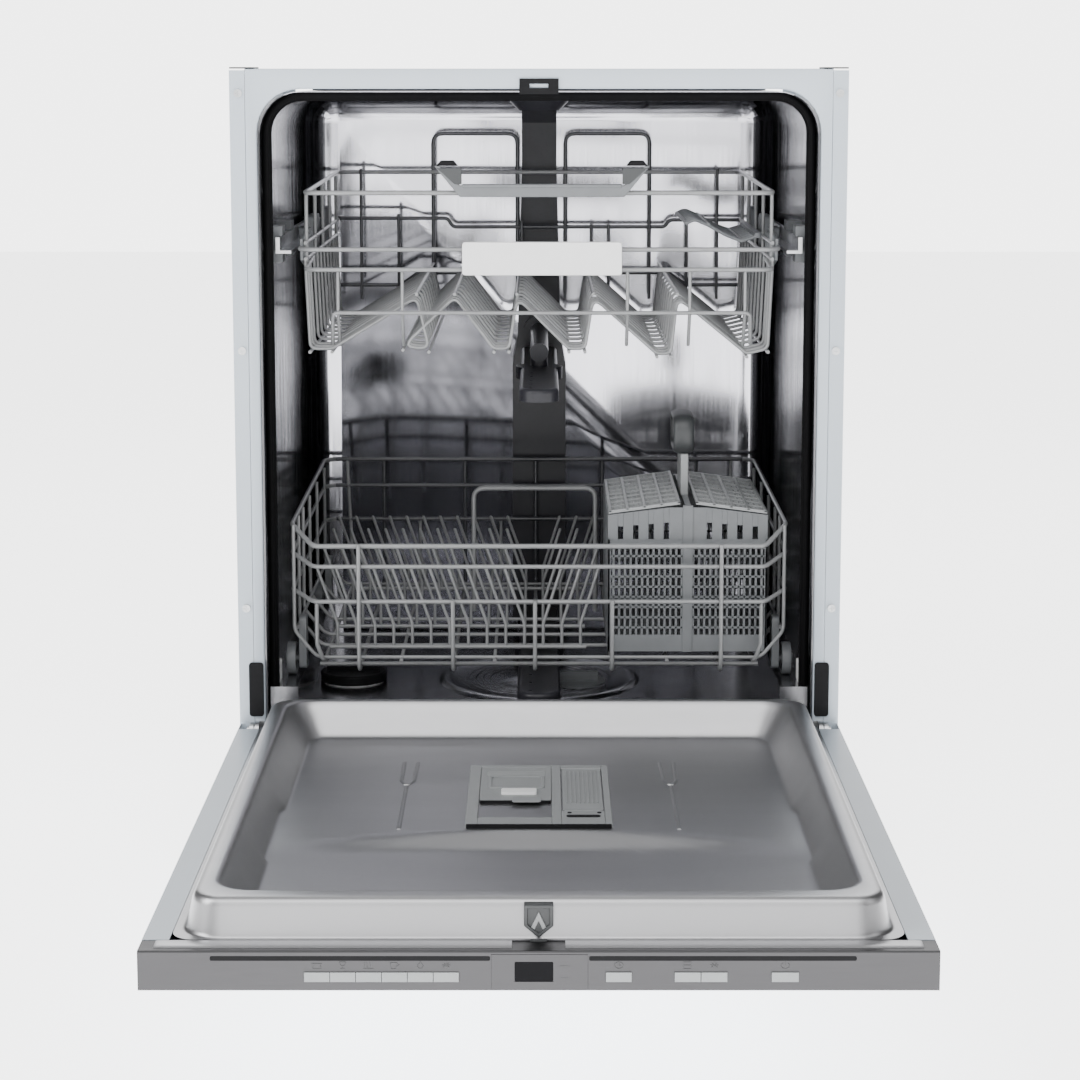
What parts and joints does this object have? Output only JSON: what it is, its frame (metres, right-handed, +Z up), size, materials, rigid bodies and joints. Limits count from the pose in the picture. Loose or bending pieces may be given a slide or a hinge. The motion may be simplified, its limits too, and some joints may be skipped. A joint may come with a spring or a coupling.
{
  "type": "built-in dishwasher",
  "caption": "Full-width built-in dishwasher with a drop-down door, two wire racks, spray arms, cutlery basket, dispenser and control fascia.",
  "frame": {"origin": "on the floor, under the middle of the whole object with its door open", "axes": "+Z up, +X to the user's right, -Y towards the user, in the direction in which the door opens"},
  "size_m": [0.598, 1.1762, 0.815],
  "materials": {
    "stainless": "satin",
    "painted_steel": "satin",
    "zinc_steel": "satin",
    "fascia": "satin",
    "coated_wire": "satin",
    "grey_plastic": "matte",
    "light_plastic": "satin",
    "white_plastic": "satin",
    "dark_plastic": "matte",
    "duct_plastic": "satin",
    "seal_rubber": "matte",
    "display_glass": "gloss",
    "circuit_board": "satin"
  },
  "bodies": {
    "cabinet": {"tub_wrapper": "stainless", "tub_back": "stainless", "tub_floor": "stainless", "front_frame": "painted_steel", "side_panels": "painted_steel", "worktop_brackets": "dark_plastic", "latch_strike": "dark_plastic", "frame_screws": "zinc_steel", "door_seal": "seal_rubber", "hinge_brackets": "zinc_steel", "hinge_trims": "dark_plastic", "base_tray": "dark_plastic", "plinth_plate": "zinc_steel", "sump": "duct_plastic", "filter_plate": "stainless", "softener": "white_plastic", "pumps": "dark_plastic", "rear_connections": "white_plastic", "spray_duct": "duct_plastic", "rail_guides": "grey_plastic"},
    "feet": {"levelling_feet": "dark_plastic"},
    "filter": {"filter_cylinder": "grey_plastic"},
    "salt_cap": {"salt_cap": "dark_plastic"},
    "lower_arm": {"lower_spray_arm": "duct_plastic"},
    "door": {"door_outer_panel": "painted_steel", "door_liner": "stainless", "door_fascia": "fascia", "display_panel": "fascia", "control_board": "circuit_board", "latch_housing": "grey_plastic", "dispenser_body": "light_plastic", "hinge_arms": "zinc_steel"},
    "detergent_lid": {"detergent_lid": "light_plastic"},
    "rinse_lid": {"rinse_aid_lid": "light_plastic"},
    "lower_rack": {"lower_rack_frame": "coated_wire", "cutlery_basket": "grey_plastic"},
    "lower_wheels_front": {"lower_wheels_front": "grey_plastic"},
    "lower_wheels_rear": {"lower_wheels_rear": "grey_plastic"},
    "comb": {"tine_comb": "coated_wire"},
    "basket_lid_left": {"cutlery_lid_left": "grey_plastic"},
    "basket_lid_right": {"cutlery_lid_right": "grey_plastic"},
    "rails": {"upper_rails": "zinc_steel"},
    "upper_rack": {"upper_rack_frame": "coated_wire", "upper_rack_handle": "grey_plastic", "upper_rack_plate": "white_plastic", "upper_rack_brackets": "grey_plastic", "upper_feed_pipe": "duct_plastic"},
    "upper_arm": {"upper_spray_arm": "duct_plastic"},
    "shelf": {"cup_shelf": "grey_plastic"},
    "key_program_1": {"key_program_1": "light_plastic"},
    "key_program_2": {"key_program_2": "light_plastic"},
    "key_program_3": {"key_program_3": "light_plastic"},
    "key_program_4": {"key_program_4": "light_plastic"},
    "key_program_5": {"key_program_5": "light_plastic"},
    "key_program_6": {"key_program_6": "light_plastic"},
    "key_delay": {"key_delay": "light_plastic"},
    "key_half_load": {"key_half_load": "light_plastic"},
    "key_extra_dry": {"key_extra_dry": "light_plastic"},
    "key_power": {"key_power": "light_plastic"}
  },
  "joints": [
    {"name": "door_hinge", "type": "hinge", "parent": "cabinet", "child": "door", "pos_m": [0, 0.0636, 0.1615], "axis": [-1, 0, 0], "range_deg": [0, 90]},
    {"name": "rack_lower_slide", "type": "slide", "parent": "cabinet", "child": "lower_rack", "axis": [0, 1, 0], "range_m": [-0.45, 0]},
    {"name": "rack_upper_slide", "type": "slide", "parent": "cabinet", "child": "upper_rack", "axis": [0, 1, 0], "range_m": [-0.45, 0]},
    {"name": "rails_slide", "type": "slide", "parent": "cabinet", "child": "rails", "axis": [0, 1, 0], "range_m": [-0.27, 0]},
    {"name": "wheels_front_turn", "type": "hinge", "parent": "lower_rack", "child": "lower_wheels_front", "pos_m": [0, 0.1561, 0.2128], "axis": [-1, 0, 0], "range_deg": [-1600, 10]},
    {"name": "wheels_rear_turn", "type": "hinge", "parent": "lower_rack", "child": "lower_wheels_rear", "pos_m": [0, 0.4711, 0.2128], "axis": [-1, 0, 0], "range_deg": [-1600, 10]},
    {"name": "comb_fold", "type": "hinge", "parent": "lower_rack", "child": "comb", "pos_m": [0, 0.2611, 0.2223], "axis": [1, 0, 0], "range_deg": [-80, 0]},
    {"name": "cutlery_lid_left", "type": "hinge", "parent": "lower_rack", "child": "basket_lid_left", "pos_m": [0.144, 0.0711, 0.3794], "axis": [0, -1, 0], "range_deg": [-85, 0]},
    {"name": "cutlery_lid_right", "type": "hinge", "parent": "lower_rack", "child": "basket_lid_right", "pos_m": [0.158, 0.0711, 0.3794], "axis": [0, 1, 0], "range_deg": [-85, 0]},
    {"name": "cup_shelf_fold", "type": "hinge", "parent": "upper_rack", "child": "shelf", "pos_m": [0.226, 0.2761, 0.6475], "axis": [0, -1, 0], "range_deg": [-80, 0]},
    {"name": "spray_arm_upper", "type": "hinge", "parent": "upper_rack", "child": "upper_arm", "pos_m": [0, 0.3211, 0.4895], "axis": [0, 0, 1], "continuous": true},
    {"name": "spray_arm_lower", "type": "hinge", "parent": "cabinet", "child": "lower_arm", "pos_m": [0, 0.3211, 0.18], "axis": [0, 0, 1], "continuous": true},
    {"name": "detergent_lid_slide", "type": "slide", "parent": "door", "child": "detergent_lid", "axis": [0, 1, 0], "range_m": [-0.05, 0]},
    {"name": "rinse_lid_hinge", "type": "hinge", "parent": "door", "child": "rinse_lid", "pos_m": [0.039, -0.1016, 0.1649], "axis": [1, 0, 0], "range_deg": [-100, 0]},
    {"name": "twist_filter", "type": "hinge", "parent": "cabinet", "child": "filter", "pos_m": [0.042, 0.2981, 0.15], "axis": [0, 0, 1], "range_deg": [-45, 0]},
    {"name": "twist_salt_cap", "type": "hinge", "parent": "cabinet", "child": "salt_cap", "pos_m": [-0.203, 0.3141, 0.157], "axis": [0, 0, 1], "range_deg": [0, 340]},
    {"name": "screw_feet_height", "type": "slide", "parent": "cabinet", "child": "feet", "axis": [0, 0, -1], "range_m": [0, 0.045]},
    {"name": "press_key_program_1", "type": "slide", "parent": "door", "child": "key_program_1", "axis": [0, 1, 0], "range_m": [0, 0.001], "stiffness_N_per_m": 150},
    {"name": "press_key_program_2", "type": "slide", "parent": "door", "child": "key_program_2", "axis": [0, 1, 0], "range_m": [0, 0.001], "stiffness_N_per_m": 150},
    {"name": "press_key_program_3", "type": "slide", "parent": "door", "child": "key_program_3", "axis": [0, 1, 0], "range_m": [0, 0.001], "stiffness_N_per_m": 150},
    {"name": "press_key_program_4", "type": "slide", "parent": "door", "child": "key_program_4", "axis": [0, 1, 0], "range_m": [0, 0.001], "stiffness_N_per_m": 150},
    {"name": "press_key_program_5", "type": "slide", "parent": "door", "child": "key_program_5", "axis": [0, 1, 0], "range_m": [0, 0.001], "stiffness_N_per_m": 150},
    {"name": "press_key_program_6", "type": "slide", "parent": "door", "child": "key_program_6", "axis": [0, 1, 0], "range_m": [0, 0.001], "stiffness_N_per_m": 150},
    {"name": "press_key_delay", "type": "slide", "parent": "door", "child": "key_delay", "axis": [0, 1, 0], "range_m": [0, 0.001], "stiffness_N_per_m": 150},
    {"name": "press_key_half_load", "type": "slide", "parent": "door", "child": "key_half_load", "axis": [0, 1, 0], "range_m": [0, 0.001], "stiffness_N_per_m": 150},
    {"name": "press_key_extra_dry", "type": "slide", "parent": "door", "child": "key_extra_dry", "axis": [0, 1, 0], "range_m": [0, 0.001], "stiffness_N_per_m": 150},
    {"name": "press_key_power", "type": "slide", "parent": "door", "child": "key_power", "axis": [0, 1, 0], "range_m": [0, 0.001], "stiffness_N_per_m": 150}
  ],
  "couplings": [
    {"joint": "rails_slide", "follows": "rack_upper_slide", "ratio": 0.6},
    {"joint": "wheels_front_turn", "follows": "rack_lower_slide", "rad_per_m": 60.606},
    {"joint": "wheels_rear_turn", "follows": "rack_lower_slide", "rad_per_m": 60.606}
  ]
}
